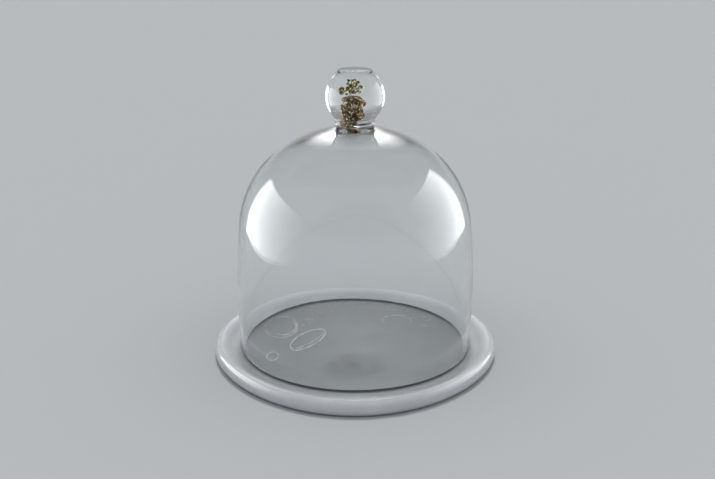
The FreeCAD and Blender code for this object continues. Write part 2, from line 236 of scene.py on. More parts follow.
def crown_of(shoulder, shoulder_radius, top):
    """Centre height and radius of the arc that closes a shoulder arc on the axis at height top."""
    rise = top - shoulder[1]
    radius = (shoulder[0] ** 2 + rise ** 2 - shoulder_radius ** 2) / (2 * (rise - shoulder_radius))
    return top - radius, radius


def knob_path():
    """The outside of knob and ring, from the middle of the ground top down to the crown."""
    top = knob_high.z
    above = top - BALL_Z
    bevel_angle = math.atan2(above, FACET_RADIUS) - math.acos(BALL_RADIUS / math.hypot(above, FACET_RADIUS))
    bevel_end = (BALL_RADIUS * math.cos(bevel_angle), BALL_Z + BALL_RADIUS * math.sin(bevel_angle))
    bevel_start = (FACET_RADIUS + BEVEL_START[0], top + BEVEL_START[1])
    facet_end = (FACET_RADIUS - FACET_ROUND, top)
    neck_angle = -math.acos(NECK_RADIUS / BALL_RADIUS)
    neck_top = BALL_Z + BALL_RADIUS * math.sin(neck_angle)
    ball_end = neck_angle + NECK_BEND_TURN
    cove_start = (BALL_RADIUS * math.cos(ball_end), BALL_Z + BALL_RADIUS * math.sin(ball_end))
    seam = ring_high.z
    up, corner, back = SEAM_BEND
    brow = (ring_high.x - RING_TOP_ROUND, seam - RING_TOP_ROUND)
    foot = (ring_high.x - RING_FOOT_ROUND, LANDING_Z + RING_FOOT_ROUND)
    return join(
        straight((0, top), facet_end, 6),
        soft_corner(facet_end, (FACET_RADIUS, top), bevel_start, 6),
        straight(bevel_start, bevel_end, 4),
        bend((0, BALL_Z), BALL_RADIUS, bevel_angle, ball_end, 72),
        soft_corner(cove_start, (NECK_RADIUS, neck_top), (NECK_RADIUS, neck_top - NECK_BEND), 6),
        soft_corner((NECK_RADIUS, seam + up), (NECK_RADIUS, seam + corner), (ring_high.x - back, seam), 7),
        bend(brow, RING_TOP_ROUND, math.radians(RING_TOP_START), 0, 6),
        bend(foot, RING_FOOT_ROUND, 0, math.radians(RING_FOOT_END), 12),
    )


def bell_arcs():
    """Centres of the bell's wall and shoulder arcs, and the angle at which the two join."""
    centre = (BELL_RADIUS - WALL_ARC, FLOOR_Z + WIDEST_HEIGHT)
    joining = math.asin((SHOULDER_START - WIDEST_HEIGHT) / WALL_ARC)
    reach = WALL_ARC - SHOULDER_ARC
    hub = (centre[0] + reach * math.cos(joining), centre[1] + reach * math.sin(joining))
    return centre, hub, joining


def bell_outside():
    """From the edge of the knob's landing down the crown, shoulder and wall to the rounded lip."""
    centre, hub, joining = bell_arcs()
    apex = LANDING_Z + LANDING_RADIUS ** 2 / (2 * CROWN_ARC)
    crown_z, crown = crown_of(hub, SHOULDER_ARC, apex)
    turn = math.atan2(hub[1] - crown_z, hub[0])
    start = math.acos((LANDING_RADIUS + RING_FOOT_REACH) / crown)
    foot = math.asin((FLOOR_Z + LIP_ROUND - centre[1]) / WALL_ARC)
    return join(
        bend((0, crown_z), crown, start, turn, 30),
        bend(hub, SHOULDER_ARC, turn, joining, 40),
        bend(centre, WALL_ARC, joining, foot, 36),
    )


def bell_inside():
    """The same arcs one wall further in, from the lip up to the middle of the heavier crown."""
    centre, hub, joining = bell_arcs()
    crown_z, crown = crown_of(hub, SHOULDER_ARC - BELL_WALL, LANDING_Z - CROWN_WALL)
    turn = math.atan2(hub[1] - crown_z, hub[0])
    foot = math.asin((FLOOR_Z + LIP_ROUND - centre[1]) / (WALL_ARC - BELL_WALL))
    return join(
        bend(centre, WALL_ARC - BELL_WALL, foot, joining, 36),
        bend(hub, SHOULDER_ARC - BELL_WALL, joining, turn, 40),
        bend((0, crown_z), crown, turn, math.pi / 2, 34),
    )


def lip(outside_end, inside_start):
    """The lip, ground and then softened in the flame: a half round from outer to inner wall."""
    middle, half = (outside_end[0] + inside_start[0]) / 2, (outside_end[0] - inside_start[0]) / 2
    depth = LIP_ROUND - LIP_CLEAR
    angles = np.linspace(0, -math.pi, 17)
    height = FLOOR_Z + LIP_ROUND
    return [(middle + half * math.cos(a), height + depth * math.sin(a)) for a in angles]


def blown(radius, height, angle, side):
    """The radius with the slow unevenness of blown glass, which dies out at the lip and the knob."""
    above_lip = height - FLOOR_Z
    still, full = BLOWN_FADE_RADII
    fade = min(1.0, above_lip / BLOWN_FADE_HEIGHT) * min(1.0, max(0.0, radius - still) / (full - still))
    twist = above_lip / BLOWN_TWIST_HEIGHT + side
    waves = sum(size * math.sin(n * angle + phase + rate * twist) for n, size, phase, rate in BLOWN_WAVES)
    return radius + fade * waves


def make_dome_glass(clear, ground):
    """Bell, ring and knob as the one body of glass that they are after the hot fusing."""
    knob, outside, inside = knob_path(), bell_outside(), bell_inside()
    between = lip(outside[-1], inside[0])[1:-1]
    walls = outside + between + inside
    sides = [0.0] * (len(outside) + len(between)) + [INNER_TWIST] * len(inside)

    def profile_at(angle):
        uneven = [(blown(r, z, angle, side) if r > 1 else r, z) for (r, z), side in zip(walls, sides)]
        return knob + uneven

    piece = turned("dome_glass", profile_at, clear, DOME_TURNS)
    piece.data.materials.append(ground)
    # the lowest part of the lip takes the grey finish: ground glass with painted contact shade
    for face in piece.data.polygons:
        if face.center.z < (FLOOR_Z + GROUND_AND_SHADE_SHARE * LIP_ROUND) * MM:
            face.material_index = 1
    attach(piece, "dome")
    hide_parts("bell", "neck_ring", "knob")


# ---------------------------------------------------------------- the plate

def outline_radius(angle):
    """The plate's hand-made outline: a circle with slow waves that make it oval and a little square."""
    radius = PLATE_RADIUS - PLATE_OVAL * math.cos(2 * angle) + PLATE_SQUARENESS * math.cos(4 * angle)
    return radius + PLATE_WOBBLE * math.sin(3 * angle)


def plate_profile(angle):
    """The plate's section: flat foot, bull-nosed edge, soft crest and a slope down to the flat floor."""
    edge = outline_radius(angle) - PLATE_INSET
    sink = sum(size * (1 + math.sin(n * angle + phase)) for n, size, phase in RIM_WAVES)
    top, low, high = RIM_Z - sink, LOWER_EDGE_ROUND, UPPER_EDGE_ROUND
    rise, run = RIM_Z - FLOOR_Z, CREST_RADIUS - FLOOR_RADIUS
    slope = (run ** 2 + rise ** 2) / (2 * rise)
    turn = SLOPE_SHARE * math.atan2(run, slope - rise)
    slope_end = (FLOOR_RADIUS + slope * math.sin(turn), FLOOR_Z + slope * (1 - math.cos(turn)))
    crest = (slope_end[0] + (top - slope_end[1]) / math.tan(turn), top)
    nose = [
        (edge - high + high * math.cos(a), low + (top - low) * math.sin(a))
        for a in np.linspace(0, math.pi / 2, 14)
    ]
    return join(
        straight((0, 0), (edge - low, 0), 12),
        bend((edge - low, low), low, -math.pi / 2, 0, 12),
        nose,
        soft_corner((max(edge - high, crest[0] + CREST_LEAST), top), crest, slope_end, 14),
        bend((FLOOR_RADIUS, FLOOR_Z + slope), slope, turn - math.pi / 2, -math.pi / 2, 12),
        straight((FLOOR_RADIUS, FLOOR_Z), (0, FLOOR_Z), 24),
    )


def make_plate(material):
    """The plate as one thick piece of opal glass."""
    piece = turned("plate_glass", plate_profile, material, PLATE_TURNS)
    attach(piece, "plate")
    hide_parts("plate")


def bubble_outline(bubble, t):
    """A point on a bubble's edge, and the outward direction there. Small bubbles are rounder."""
    x, y, half_length, half_width, turn = bubble[:5]
    uneven = min(1.0, half_width / 8)
    wave = 1 + uneven * (0.035 * math.sin(2 * t + x) + 0.02 * math.sin(3 * t + y))
    u, v = half_length * wave * math.cos(t), half_width * wave * math.sin(t)
    nu, nv = half_width * math.cos(t), half_length * math.sin(t)
    c, s, size = math.cos(math.radians(turn)), math.sin(math.radians(turn)), math.hypot(nu, nv)
    place = (x + u * c - v * s, y + u * s + v * c)
    return place, ((nu * c - nv * s) / size, (nu * s + nv * c) / size)


def ridge_size(bubble, t, outward):
    """Width and height of the ridge at a point of a bubble's edge: strongest towards the bubble's
    clearest side, a little uneven all round, and narrower where the edge runs front to back."""
    clearest, fade = math.radians(bubble[5]), bubble[6]
    width_limit = RIDGE_SHARE * bubble[3]
    towards = outward[0] * math.cos(clearest) + outward[1] * math.sin(clearest)
    strength = 1 - fade * (0.5 - 0.5 * towards) ** 0.8
    strength *= 0.85 + 0.15 * math.sin(5 * t + bubble[0])
    width = min(RIDGE_WIDTH, width_limit) * (0.3 + 0.7 * strength) * (0.6 + 0.4 * abs(outward[1]))
    return width, RIDGE_HEIGHT * strength * min(1.0, width_limit / RIDGE_FULL_HEIGHT_WIDTH)


def make_bubbles(material):
    """The ridges that trapped air raises in the plate's floor, one closed loop round each bubble."""
    points, faces = [], []
    steps, across = 96, 9
    for bubble in BUBBLES:
        first = len(points)
        for step in range(steps):
            t = 2 * math.pi * step / steps
            (px, py), (nx, ny) = bubble_outline(bubble, t)
            width, height = ridge_size(bubble, t, (nx, ny))
            for i in range(across):
                s = i / (across - 1)
                lift = height * math.sin(math.pi * s) ** 0.5 - RIDGE_SINK
                points.append((px - nx * width * s, py - ny * width * s, FLOOR_Z + lift))
            points.append((px - nx * width / 2, py - ny * width / 2, FLOOR_Z - RIDGE_UNDERSIDE))
        row = across + 1
        for step in range(steps):
            here, there = first + step * row, first + (step + 1) % steps * row
            for i in range(row):
                j = (i + 1) % row
                faces.append((here + i, there + i, there + j, here + j))
    piece = mesh_piece("plate_bubbles", points, faces, material)
    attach(piece, "plate")


# ---------------------------------------------------------------- geometry nodes

def add(tree, kind, links=None, **settings):
    """Add a node with its settings, its input values and its links from other nodes' sockets."""
    node = tree.nodes.new(kind)
    for name, value in settings.items():
        setattr(node, name, value)
    for name, value in (links or {}).items():
        socket = node.inputs[name]
        if isinstance(value, bpy.types.NodeSocket):
            tree.links.new(value, socket)
        else:
            socket.default_value = value
    return node


def scatter_tree(name, keep_core):
    """Cover a core with copies of a small piece, and keep the core under them or not. The density,
    sizes, tumble, seed and finishes are inputs."""
    tree = bpy.data.node_groups.new(name, "GeometryNodeTree")
    wanted = {
        "Core": "NodeSocketGeometry",
        "Piece": "NodeSocketObject",
        "Density": "NodeSocketFloat",
        "Smallest": "NodeSocketFloat",
        "Largest": "NodeSocketFloat",
        "Tumble": "NodeSocketVector",
        "Seed": "NodeSocketInt",
        "Finish": "NodeSocketMaterial",
        "Core Finish": "NodeSocketMaterial",
    }
    for label, kind in wanted.items():
        tree.interface.new_socket(label, in_out="INPUT", socket_type=kind)
    tree.interface.new_socket("Geometry", in_out="OUTPUT", socket_type="NodeSocketGeometry")
    given = add(tree, "NodeGroupInput").outputs
    spots = add(
        tree,
        "GeometryNodeDistributePointsOnFaces",
        {"Mesh": given["Core"], "Density": given["Density"], "Seed": given["Seed"]},
    )
    back = add(tree, "ShaderNodeVectorMath", {0: given["Tumble"], "Scale": -1.0}, operation="SCALE")
    tumble = add(
        tree,
        "FunctionNodeRandomValue",
        {0: back.outputs[0], 1: given["Tumble"], "Seed": given["Seed"]},
        data_type="FLOAT_VECTOR",
    )
    sizes = add(
        tree,
        "FunctionNodeRandomValue",
        {2: given["Smallest"], 3: given["Largest"], "Seed": given["Seed"]},
        data_type="FLOAT",
    )
    piece = add(tree, "GeometryNodeObjectInfo", {"Object": given["Piece"]})
    copies = add(
        tree,
        "GeometryNodeInstanceOnPoints",
        {
            "Points": spots.outputs["Points"],
            "Instance": piece.outputs["Geometry"],
            "Rotation": tumble.outputs[0],
            "Scale": sizes.outputs[1],
        },
    )
    solid = add(tree, "GeometryNodeRealizeInstances", {"Geometry": copies.outputs["Instances"]})
    finished = add(
        tree,
        "GeometryNodeSetMaterial",
        {"Geometry": solid.outputs["Geometry"], "Material": given["Finish"]},
    )
    both = add(tree, "GeometryNodeJoinGeometry", {0: finished.outputs["Geometry"]})
    if keep_core:
        core = add(
            tree,
            "GeometryNodeSetMaterial",
            {"Geometry": given["Core"], "Material": given["Core Finish"]},
        )
        tree.links.new(core.outputs["Geometry"], both.inputs[0])
    add(tree, "NodeGroupOutput", {"Geometry": both.outputs[0]})
    return tree


def scattered(name, core, tree, **inputs):
    """Run a scatter tree over a core and keep the result as a plain mesh piece. Inputs are named as the
    tree names them, with _ for a space."""
    modifier = core.modifiers.new("scatter", "NODES")
    modifier.node_group = tree
    for socket in tree.interface.items_tree:
        label = socket.name.replace(" ", "_")
        if socket.in_out == "INPUT" and label in inputs:
            modifier[socket.identifier] = inputs[label]
    bpy.context.view_layer.update()
    ready = core.evaluated_get(bpy.context.evaluated_depsgraph_get())
    mesh = bpy.data.meshes.new_from_object(ready)
    mesh.name = name
    core.modifiers.remove(modifier)
    piece = bpy.data.objects.new(name, mesh)
    bpy.context.scene.collection.objects.link(piece)
    return piece


def drop(*helpers):
    """Delete helper objects once the pieces made from them are plain meshes."""
    for helper in helpers:
        bpy.data.objects.remove(helper)


# ---------------------------------------------------------------- seeds in the plate

# Where the seeds lie on the plate's floor, how large they are, and how many there are in a square mm.
SEED_RADII = (44.0, 84.0)
SEED_ANGLES = (25.0, 165.0)
SEED_SIZES = (0.9, 2.4)
SEED_DENSITY = 0.005


def make_seeds(material):
    """Tiny seeds of air that stand up as dots in the back half of the plate's floor."""
    angles = np.radians(np.linspace(*SEED_ANGLES, 40))
    points = [(r * math.cos(a), r * math.sin(a), FLOOR_Z) for a in angles for r in SEED_RADII]
    faces = [(2 * i, 2 * i + 1, 2 * i + 3, 2 * i + 2) for i in range(len(angles) - 1)]
    area = mesh_piece("seed_area", points, faces, None)
    bpy.ops.mesh.primitive_ico_sphere_add(subdivisions=2, radius=0.5)
    seed = bpy.context.object
    for vertex in seed.data.vertices:
        vertex.co.x *= 1.3
        vertex.co.z *= 0.35
    piece = scattered(
        "plate_seeds",
        area,
        scatter_tree("seed_scatter", keep_core=False),
        Piece=seed,
        Density=SEED_DENSITY / MM ** 2,
        Smallest=SEED_SIZES[0] * MM,
        Largest=SEED_SIZES[1] * MM,
        Tumble=(0.0, 0.0, math.pi),
        Seed=11,
        Finish=material,
    )
    piece.data.shade_smooth()
    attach(piece, "plate")
    drop(area, seed)


# ---------------------------------------------------------------- the gold leaf

# Lumps of the two dense gold clusters above the landing: X, Y, height, half width, half height.
GOLD_LUMPS = {
    "gold_tail": [(-1.9, 0.0, 8.4, 3.9, 2.2), (-2.5, 0.3, 5.4, 4.1, 2.3), (-3.5, 0.0, 2.9, 3.8, 1.8)],
    "gold_column": [
        (-1.1, 0.2, 19.3, 4.7, 1.9),
        (-0.6, -0.3, 17.6, 5.2, 2.4),
        (-1.6, 0.3, 15.3, 4.9, 2.6),
        (-0.9, -0.2, 12.9, 5.0, 2.6),
        (-1.2, 0.0, 10.6, 4.4, 2.1),
    ],
}
# Lobes of the loose green tuft: X, Y, height, half width, half depth, half height, lumps in it.
TUFT_LOBES = [
    (-4.7, -0.4, 23.9, 2.9, 2.4, 1.6, 11),
    (0.5, 0.3, 25.6, 2.8, 3.0, 2.8, 15),
    (-1.9, 0.6, 28.1, 2.2, 2.0, 1.1, 6),
]
# The scraps of leaf over the lumps: sizes in mm, how many in a square mm, and how far they tumble.
SCRAP_SIZES = (0.5, 1.5)
SCRAP_DENSITY = 2.6
SCRAP_TUMBLE = (0.7, 0.7, math.pi)
GOLDEN_ANGLE = 2.4  # radians from each lump to the next, which spreads them evenly round a lobe


def tuft_lumps():
    """The lumps of crumpled leaf round the skins of the tuft's lobes, with gaps between them."""
    chance = np.random.default_rng(8)
    lumps = []
    for x, y, height, half_width, half_depth, half_height, count in TUFT_LOBES:
        for step in range(count):
            rise = 1 - 2 * (step + 0.5) / count
            turn = GOLDEN_ANGLE * step + float(chance.uniform(-0.4, 0.4))
            reach = math.sqrt(1 - rise * rise)
            size = float(chance.uniform(0.55, 1.15))
            lumps.append((
                x + half_width * reach * math.cos(turn),
                y + half_depth * reach * math.sin(turn),
                height + half_height * rise,
                size,
                size * float(chance.uniform(0.6, 1.0)),
            ))
    return lumps


def leaf_scrap():
    """One crumpled scrap of leaf, one unit across, with the flat bright faces of creased foil."""
    bpy.ops.mesh.primitive_ico_sphere_add(subdivisions=1, radius=0.5)
    scrap = bpy.context.object
    chance = np.random.default_rng(5)
    for vertex in scrap.data.vertices:
        vertex.co *= float(chance.uniform(0.6, 1.0))
        vertex.co.x *= 0.7
        vertex.co.y *= 0.55
    return scrap


def gold_core(name, lumps):
    """The lumpy core of a gold cluster, whose dark finish is painted shade between the scraps: one closed
    ball for each lump.
    """
    bpy.ops.mesh.primitive_ico_sphere_add(subdivisions=3, radius=1)
    ball = bpy.context.object
    points, faces = [], []
    for x, y, height, half_width, half_height in lumps:
        first = len(points)
        for vertex in ball.data.vertices:
            a, b, c = vertex.co
            lump = 1 + 0.12 * math.sin(5 * a + 2 * height) * math.cos(4 * c + x) + 0.08 * math.sin(7 * b)
            points.append((
                x + a * half_width * lump,
                y + b * half_width * lump * 0.9,
                LANDING_Z + height + c * half_height * lump,
            ))
        faces += [tuple(first + corner for corner in face.vertices) for face in ball.data.polygons]
    drop(ball)
    return mesh_piece(name, points, faces, None)


def make_gold(gold, green_gold, core_painted_shade):
    """The three clusters of gold leaf in the knob, each standing for its CAD group of scraps."""
    tree = scatter_tree("leaf_scatter", keep_core=True)
    scrap = leaf_scrap()
    clusters = {**GOLD_LUMPS, "gold_spray": tuft_lumps()}
    for seed, (name, lumps) in enumerate(clusters.items(), start=3):
        finish = green_gold if name == "gold_spray" else gold
        core = gold_core(f"{name}_core", lumps)
        piece = scattered(
            f"{name}_leaf",
            core,
            tree,
            Piece=scrap,
            Density=SCRAP_DENSITY / MM ** 2,
            Smallest=SCRAP_SIZES[0] * MM,
            Largest=SCRAP_SIZES[1] * MM,
            Tumble=SCRAP_TUMBLE,
            Seed=seed,
            Finish=finish,
            Core_Finish=core_painted_shade,
        )
        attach(piece, "dome")
        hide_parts(name)
        drop(core)
    drop(scrap)


# ---------------------------------------------------------------- materials

def ink(code):
    """An sRGB hex colour as the linear colour that shaders take."""
    parts = [int(code[i:i + 2], 16) / 255 for i in (1, 3, 5)]
    return tuple(c / 12.92 if c <= 0.04045 else ((c + 0.055) / 1.055) ** 2.4 for c in parts) + (1.0,)


def new_material(name):
    """A material with an empty node tree, and that tree."""
    material = bpy.data.materials.new(name)
    material.use_nodes = True
    material.node_tree.nodes.clear()
    return material, material.node_tree


def grain(tree, millimetres, detail=2.0, rough=0.5, stretch=(1.0, 1.0, 1.0)):
    """Noise in the piece's own coordinates whose features are that many millimetres across, and that
    many times longer along each axis as stretch says."""
    place = add(tree, "ShaderNodeTexCoord")
    drawn = add(
        tree,
        "ShaderNodeVectorMath",
        {0: place.outputs["Object"], 1: stretch},
        operation="DIVIDE",
    )
    return add(
        tree,
        "ShaderNodeTexNoise",
        {
            "Vector": drawn.outputs[0],
            "Scale": 1 / (millimetres * MM),
            "Detail": detail,
            "Roughness": rough,
        },
    )


def clear_glass():
    """Blown soda-lime glass, fire-polished: colourless and mirror-smooth, so it shows as bright edges
    and reflections, with a slow ripple and the faint rings that turning on the pipe draws out. Lamps
    reach through it, and it throws most shade where its wall stands on edge to them and in the knob."""
    material, tree = new_material("blown_soda_lime_glass")
    ripple = grain(tree, 38.0, detail=1.0)
    cords = grain(tree, 7.0, detail=2.0, stretch=(9.0, 9.0, 1.0))
    rings = add(
        tree,
        "ShaderNodeBump",
        {"Height": cords.outputs["Fac"], "Strength": 0.12, "Distance": 0.12 * MM},
    )
    bump = add(
        tree,
        "ShaderNodeBump",
        {
            "Height": ripple.outputs["Fac"],
            "Strength": 0.12,
            "Distance": 0.6 * MM,
            "Normal": rings.outputs["Normal"],
        },
    )
    glass = add(
        tree,
        "ShaderNodeBsdfPrincipled",
        {
            "Base Color": ink("#FCFEFE"),
            "Roughness": 0.0,
            "IOR": 1.52,
            "Transmission Weight": 1.0,
            "Normal": bump.outputs["Normal"],
        },
    )
    edge = add(tree, "ShaderNodeLayerWeight", {"Blend": 0.25})
    shade = add(
        tree,
        "ShaderNodeMix",
        {0: edge.outputs["Facing"], 6: ink("#FCFDFD"), 7: ink("#AAADB2")},
        data_type="RGBA",
    )
    place = add(tree, "ShaderNodeTexCoord")
    height = add(tree, "ShaderNodeSeparateXYZ", {0: place.outputs["Object"]})
    solid = add(
        tree,
        "ShaderNodeMath",
        {0: height.outputs["Z"], 1: LANDING_Z * MM},
        operation="GREATER_THAN",
    )
    tint = add(
        tree,
        "ShaderNodeMix",
        {0: solid.outputs[0], 6: shade.outputs[2], 7: ink("#D6D8DB")},
        data_type="RGBA",
    )
    through = add(tree, "ShaderNodeBsdfTransparent", {"Color": tint.outputs[2]})
    path = add(tree, "ShaderNodeLightPath")
    mix = add(
        tree,
        "ShaderNodeMixShader",
        {0: path.outputs["Is Shadow Ray"], 1: glass.outputs[0], 2: through.outputs[0]},
    )
    add(tree, "ShaderNodeOutputMaterial", {"Surface": mix.outputs[0]})
    return material


def ground_lip_with_painted_shade():
    """The lip where it was ground level with fine grit and then softened in the flame: grey, partly from the
    grinding and partly as painted contact shade where the bell stands on the plate, with the last of the grit
    in its shine, so the bell ends in a thin dark line instead of piping light up its wall. The marks are
    drawn coarser than the grit, or they wouldn't show."""
    material, tree = new_material("ground_lip_glass")
    marks = grain(tree, 0.5, detail=3.0)
    shine = add(
        tree,
        "ShaderNodeMapRange",
        {"Value": marks.outputs["Fac"], "From Min": 0.35, "From Max": 0.65, "To Min": 0.08, "To Max": 0.18},
    )
    # painted shade: the lip's grey stands partly for the dark contact line where the bell meets the plate
    colour = add(
        tree,
        "ShaderNodeMix",
        {0: marks.outputs["Fac"], 6: ink("#777D82"), 7: ink("#878D92")},
        data_type="RGBA",
    )
    lip_face = add(
        tree,
        "ShaderNodeBsdfPrincipled",
        {"Base Color": colour.outputs[2], "Roughness": shine.outputs[0], "IOR": 1.5},
    )
    add(tree, "ShaderNodeOutputMaterial", {"Surface": lip_face.outputs[0]})
    return material


def frosted_glass():
    """Kiln-formed opal glass: milky and translucent, satin on top from its kiln shelf, with painted shade
    that greys its floor from the rim in towards the middle under the bell, and fire-polished round the edge,
    which is where it shines."""
    material, tree = new_material("kiln_formed_opal_glass")
    place = add(tree, "ShaderNodeTexCoord").outputs["Object"]
    flat = add(tree, "ShaderNodeVectorMath", {0: place, 1: (1.0, 1.0, 0.0)}, operation="MULTIPLY")
    radius = add(tree, "ShaderNodeVectorMath", {0: flat.outputs[0]}, operation="LENGTH")
    outward = add(
        tree,
        "ShaderNodeMapRange",
        {"Value": radius.outputs["Value"], "From Min": 40.0 * MM, "From Max": (FLOOR_RADIUS + 3.0) * MM},
        interpolation_type="SMOOTHSTEP",
    )
    on_rim = add(
        tree,
        "ShaderNodeMapRange",
        {
            "Value": radius.outputs["Value"],
            "From Min": (FLOOR_RADIUS - 2.0) * MM,
            "From Max": (CREST_RADIUS + 1.0) * MM,
        },
        interpolation_type="SMOOTHSTEP",
    )
    on_edge = add(
        tree,
        "ShaderNodeMapRange",
        {
            "Value": radius.outputs["Value"],
            "From Min": (CREST_RADIUS + 1.0) * MM,
            "From Max": (CREST_RADIUS + 6.0) * MM,
        },
        interpolation_type="SMOOTHSTEP",
    )
    rough = add(
        tree,
        "ShaderNodeMapRange",
        {"Value": on_edge.outputs[0], "To Min": 0.46, "To Max": 0.26},
    )
    # painted shade: the floor's colour greys from the rim in towards the middle, where the bell shades it
    painted_shade_well = add(
        tree,
        "ShaderNodeMix",
        {0: outward.outputs[0], 6: ink("#AAAEB4"), 7: ink("#C6CACF")},
        data_type="RGBA",
    )
    tint = add(
        tree,
        "ShaderNodeMix",
        {0: on_rim.outputs[0], 6: painted_shade_well.outputs[2], 7: ink("#DFE2E7")},
        data_type="RGBA",
    )
    clouds = grain(tree, 30.0, detail=4.0, rough=0.6)
    speckle = grain(tree, 0.9, detail=3.0, rough=0.7)
    milky = add(
        tree,
        "ShaderNodeMapRange",
        {"Value": clouds.outputs["Fac"], "From Min": 0.3, "From Max": 0.7, "To Min": 0.9, "To Max": 1.04},
    )
    fine = add(
        tree,
        "ShaderNodeMapRange",
        {"Value": speckle.outputs["Fac"], "From Min": 0.35, "From Max": 0.75, "To Min": 0.9, "To Max": 1.04},
    )
    mottle = add(tree, "ShaderNodeMath", {0: milky.outputs[0], 1: fine.outputs[0]}, operation="MULTIPLY")
    colour = add(
        tree,
        "ShaderNodeVectorMath",
        {0: tint.outputs[2], "Scale": mottle.outputs[0]},
        operation="SCALE",
    )
    waves = grain(tree, 22.0, detail=1.0)
    slow = add(
        tree,
        "ShaderNodeBump",
        {"Height": waves.outputs["Fac"], "Strength": 0.25, "Distance": 0.8 * MM},
    )
    satin = add(
        tree,
        "ShaderNodeBump",
        {
            "Height": speckle.outputs["Fac"],
            "Strength": 0.2,
            "Distance": 0.12 * MM,
            "Normal": slow.outputs["Normal"],
        },
    )
    glass = add(
        tree,
        "ShaderNodeBsdfPrincipled",
        {
            "Base Color": colour.outputs[0],
            "Roughness": rough.outputs[0],
            "IOR": 1.5,
            "Transmission Weight": 0.15,
            "Subsurface Weight": 0.85,
            "Subsurface Radius": (1.0, 1.05, 1.1),
            "Subsurface Scale": 9.0 * MM,
            "Coat Weight": on_edge.outputs[0],
            "Coat Roughness": 0.06,
            "Normal": satin.outputs["Normal"],
            "Coat Normal": slow.outputs["Normal"],
        },
    )
    add(tree, "ShaderNodeOutputMaterial", {"Surface": glass.outputs[0]})
    return material


def bubble_glass():
    """The skin of glass over the edge of trapped air: fire-polished, with a painted highlight in its pale
    colour, brighter here and dimmer there, that stands for the side light which the curved edge of the air
    turns up to the eye."""
    material, tree = new_material("skin_over_trapped_air")
    patches = grain(tree, 7.0, detail=3.0)
    share = add(
        tree,
        "ShaderNodeMapRange",
        {"Value": patches.outputs["Fac"], "From Min": 0.38, "From Max": 0.52},
    )
    # painted highlight: the pale colour, brighter in patches, stands for light turned up by the air's edge
    colour = add(
        tree,
        "ShaderNodeMix",
        {0: share.outputs[0], 6: ink("#D9DDE1"), 7: ink("#FFFFFF")},
        data_type="RGBA",
    )
    glass = add(
        tree,
        "ShaderNodeBsdfPrincipled",
        {
            "Base Color": colour.outputs[2],
            "Roughness": 0.1,
            "IOR": 1.5,
            "Coat Weight": 1.0,
            "Coat Roughness": 0.03,
        },
    )
    add(tree, "ShaderNodeOutputMaterial", {"Surface": glass.outputs[0]})
    return material


def scorched_leaf():
    """Painted shade: the dark brown core that shows in the gaps between the scraps, where they shade each
    other.
    """
    material, tree = new_material("scorched_leaf")
    shade_mottle = grain(tree, 0.8, detail=2.0)
    # painted shade: near-black browns for the shade in the gaps between the scraps
    colour = add(
        tree,
        "ShaderNodeMix",
        {0: shade_mottle.outputs["Fac"], 6: ink("#1C1107"), 7: ink("#38240F")},
        data_type="RGBA",
    )
    leaf = add(
        tree,
        "ShaderNodeBsdfPrincipled",
        {"Base Color": colour.outputs[2], "Metallic": 0.6, "Roughness": 0.5},
    )
    add(tree, "ShaderNodeOutputMaterial", {"Surface": leaf.outputs[0]})
    return material


def metal_leaf(name, bright, deep):
    """Beaten metal leaf crushed by hot glass: bright facets, with darker patches at random between them that
    are painted shade for the dark between the glints.
    """
    material, tree = new_material(name)
    patches = grain(tree, 1.4, detail=2.0)
    share = add(
        tree,
        "ShaderNodeMapRange",
        {"Value": patches.outputs["Fac"], "From Min": 0.46, "From Max": 0.58},
    )
    # painted shade: the deep colour in random patches darkens the leaf between its glints
    colour = add(tree, "ShaderNodeMix", {0: share.outputs[0], 6: ink(deep), 7: ink(bright)}, data_type="RGBA")
    creases = grain(tree, 0.35, detail=2.0)
    bump = add(
        tree,
        "ShaderNodeBump",
        {"Height": creases.outputs["Fac"], "Strength": 0.5, "Distance": 0.1 * MM},
    )
    leaf = add(
        tree,
        "ShaderNodeBsdfPrincipled",
        {
            "Base Color": colour.outputs[2],
            "Metallic": 1.0,
            "Roughness": 0.16,
            "Normal": bump.outputs["Normal"],
        },
    )
    add(tree, "ShaderNodeOutputMaterial", {"Surface": leaf.outputs[0]})
    return material


def studio_paper():
    """Plain matt paper under and behind the object."""
    material, tree = new_material("plain_pale_paper")
    paper = add(tree, "ShaderNodeBsdfDiffuse", {"Color": ink("#C2C5C8"), "Roughness": 0.5})
    add(tree, "ShaderNodeOutputMaterial", {"Surface": paper.outputs[0]})
    return material


# ---------------------------------------------------------------- studio

def make_floor():
    """A plain floor, wide enough that no view sees its edge near the object."""
    bpy.ops.mesh.primitive_circle_add(vertices=96, radius=60.0, fill_type="NGON")
    floor = bpy.context.object
    floor.name = "studio_floor"
    floor.data.materials.append(studio_paper())


def aim(thing, target):
    """Turn a lamp to face a place."""
    thing.rotation_euler = (Vector(target) - thing.location).to_track_quat("-Z", "Y").to_euler()


